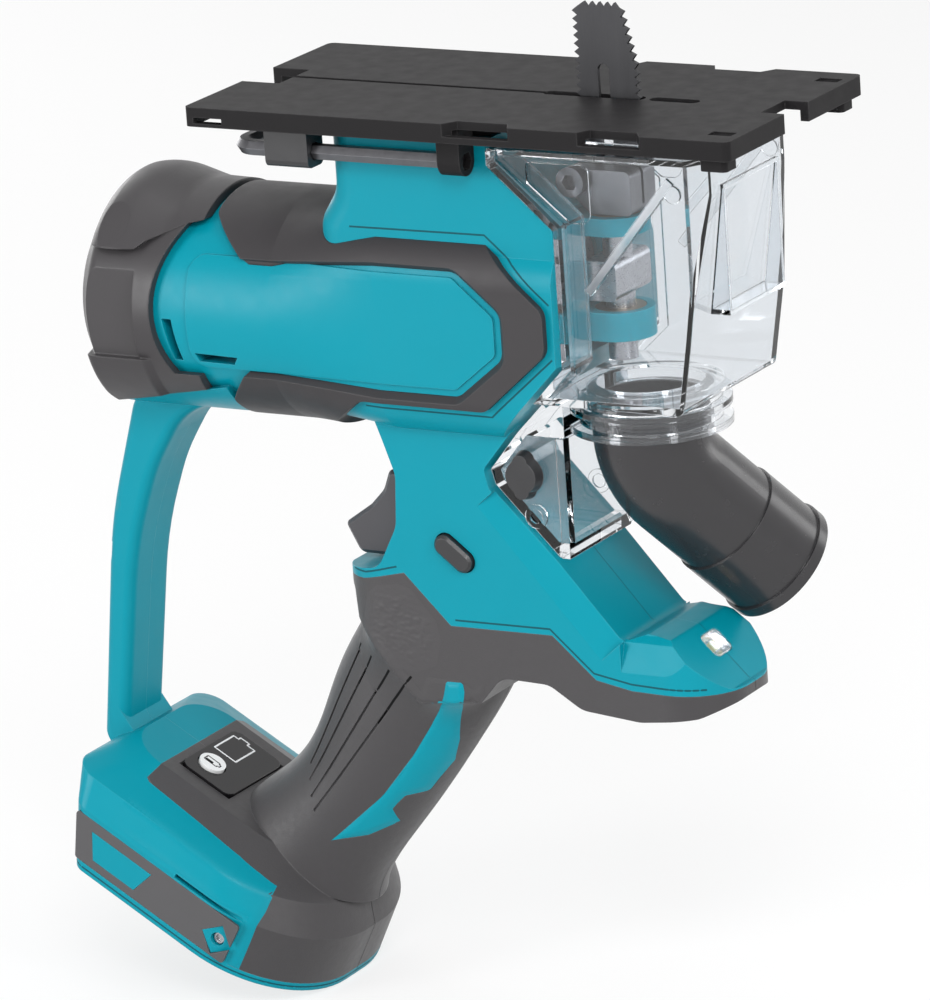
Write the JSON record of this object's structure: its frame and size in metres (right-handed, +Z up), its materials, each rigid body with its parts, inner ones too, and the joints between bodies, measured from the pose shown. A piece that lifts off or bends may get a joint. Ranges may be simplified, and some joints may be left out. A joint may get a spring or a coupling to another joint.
{
  "type": "cordless drywall saw",
  "caption": "Handheld cordless saw with a flat guide shoe, short upright reciprocating blade, clear dust box with swivelling hose nozzle, looped handle and slide-on battery foot.",
  "frame": {"origin": "Middle of the blade on the work face of the shoe.", "axes": "+Z up out of the shoe along the blade, +X forward toward the dust box, +Y to the left."},
  "size_m": [0.2305, 0.0838, 0.2904],
  "materials": {
    "teal_plastic": "satin moulded",
    "dark_rubber": "matte overmould",
    "black_metal": "fine textured paint",
    "black_plastic": "satin moulded",
    "clear_plastic": "clear moulded",
    "white_plastic": "moulded",
    "board": "coated board",
    "cast_aluminium": "cast",
    "dark_steel": "oxide coated",
    "copper": "copper wire and strip",
    "ferrite": "pressed",
    "steel": "ground"
  },
  "bodies": {
    "housing": {"housing_right": "teal_plastic", "housing_left": "teal_plastic", "grip_right": "dark_rubber", "grip_left": "dark_rubber", "band_right": "dark_rubber", "band_left": "dark_rubber", "side_plate_right": "dark_rubber", "side_plate_left": "dark_rubber", "rear_cover": "dark_rubber", "base_plate": "black_metal", "wrench_holder": "black_plastic", "gear_housing": "cast_aluminium", "gear_cover": "cast_aluminium", "bearing_front": "steel", "bearing_rear": "steel", "crank_bearing": "steel", "gear_bearing": "steel", "guide_upper": "steel", "guide_lower": "steel", "motor_yoke": "steel", "magnet_upper": "ferrite", "magnet_lower": "ferrite", "brush_plate": "black_plastic", "brush_right": "ferrite", "brush_left": "ferrite", "switch_body": "black_plastic", "lamp_lens": "clear_plastic", "lamp_board": "board", "indicator_panel": "black_plastic", "controller": "black_plastic", "terminal_block": "black_plastic", "contact_right": "copper", "contact_left": "copper"},
    "armature": {"armature_shaft": "steel", "armature_core": "steel", "winding_rear": "copper", "winding_front": "copper", "commutator": "copper", "fan": "black_plastic", "pinion": "steel"},
    "crank": {"crank_shaft": "steel", "drive_gear": "steel"},
    "ram": {"slider": "steel", "blade_clamp": "dark_steel", "clamp_screw": "steel", "blade": "dark_steel"},
    "trigger": {"trigger": "black_plastic"},
    "lock_button": {"lock_button": "black_plastic"},
    "check_button": {"check_button": "white_plastic"},
    "hex_wrench": {"hex_wrench": "dark_steel"},
    "dust_box": {"dust_box": "clear_plastic"},
    "dust_nozzle": {"dust_nozzle": "black_plastic"},
    "dust_latch": {"dust_latch": "black_plastic"}
  },
  "joints": [
    {"name": "motor_spin", "type": "hinge", "parent": "housing", "child": "armature", "pos_m": [-0.09, 0, -0.064], "axis": [1, 0, 0], "continuous": true},
    {"name": "gear_spin", "type": "hinge", "parent": "housing", "child": "crank", "pos_m": [-0.03, 0, -0.046], "axis": [1, 0, 0], "continuous": true},
    {"name": "blade_stroke", "type": "slide", "parent": "housing", "child": "ram", "axis": [0, 0, 1], "range_m": [0, 0.006]},
    {"name": "trigger_pull", "type": "slide", "parent": "housing", "child": "trigger", "axis": [1, 0, 0], "range_m": [0, 0.006], "stiffness_N_per_m": 800, "springref_m": -0.002},
    {"name": "lock_slide", "type": "slide", "parent": "housing", "child": "lock_button", "axis": [0, 1, 0], "range_m": [0, 0.002]},
    {"name": "check_press", "type": "slide", "parent": "housing", "child": "check_button", "axis": [-0.5, 0, -0.866], "range_m": [0, 0.0008], "stiffness_N_per_m": 1500, "springref_m": -0.0005},
    {"name": "box_slide", "type": "slide", "parent": "housing", "child": "dust_box", "axis": [1, 0, 0], "range_m": [0, 0.025]},
    {"name": "nozzle_swivel", "type": "hinge", "parent": "dust_box", "child": "dust_nozzle", "pos_m": [0.008, 0, -0.09], "axis": [0, 0, 1], "range_deg": [-145, 35]},
    {"name": "latch_turn", "type": "hinge", "parent": "dust_box", "child": "dust_latch", "pos_m": [-0.022, -0.019, -0.103], "axis": [0, 1, 0], "range_deg": [0, 90]},
    {"name": "wrench_slide", "type": "slide", "parent": "housing", "child": "hex_wrench", "axis": [-1, 0, 0], "range_m": [0, 0.04]}
  ],
  "couplings": [
    {"joint": "gear_spin", "follows": "motor_spin", "ratio": -0.33333}
  ]
}
